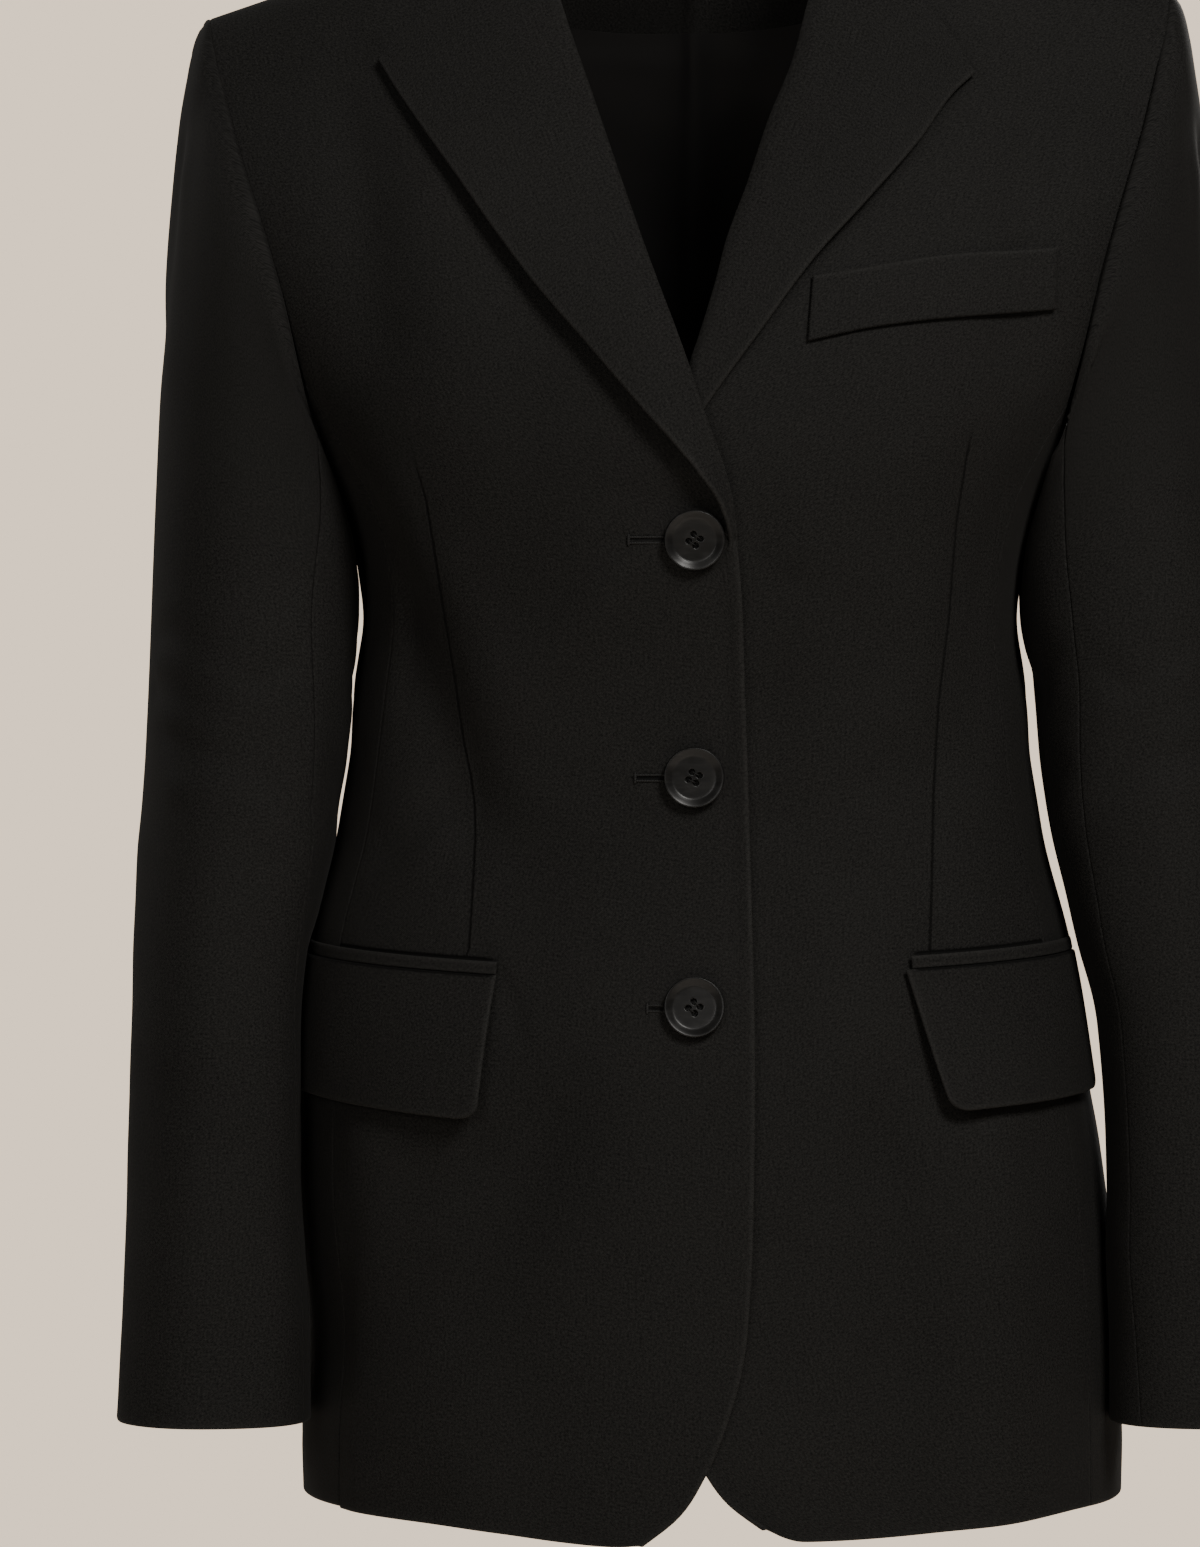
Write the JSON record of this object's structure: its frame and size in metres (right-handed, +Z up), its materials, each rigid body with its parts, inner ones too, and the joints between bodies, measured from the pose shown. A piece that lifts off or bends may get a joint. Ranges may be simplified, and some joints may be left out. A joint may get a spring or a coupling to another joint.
{
  "type": "single breasted blazer",
  "caption": "Single-breasted notch-lapel blazer in its worn, hollow shape: fitted waist, flapped pockets, a breast welt, two-piece sleeves and rounded cutaway fronts.",
  "frame": {"origin": "between the neck ends of the shoulder seams, at their height, in the middle of the neck opening, where the wearer's shoulders and neck hold the garment", "axes": "+Z up through the neck opening, -Y out of the garment's front, +X towards the wearer's left, so the wearer's right front laps over on the -X side"},
  "size_m": [0.5153, 0.266, 0.7415],
  "materials": {
    "wool_twill": "fine black wool twill, matt with a slight sheen",
    "button_horn": "dark imitation horn, polished"
  },
  "bodies": {
    "root": {"front_right": "wool_twill", "side_panel_right": "wool_twill", "back_right": "wool_twill", "lapel_right": "wool_twill", "top_sleeve_right": "wool_twill", "under_sleeve_right": "wool_twill", "jet_right": "wool_twill", "flap_right": "wool_twill", "front_left": "wool_twill", "side_panel_left": "wool_twill", "back_left": "wool_twill", "lapel_left": "wool_twill", "top_sleeve_left": "wool_twill", "under_sleeve_left": "wool_twill", "jet_left": "wool_twill", "flap_left": "wool_twill", "collar": "wool_twill", "breast_welt": "wool_twill", "button_1": "button_horn", "button_2": "button_horn", "button_3": "button_horn"}
  },
  "joints": []
}
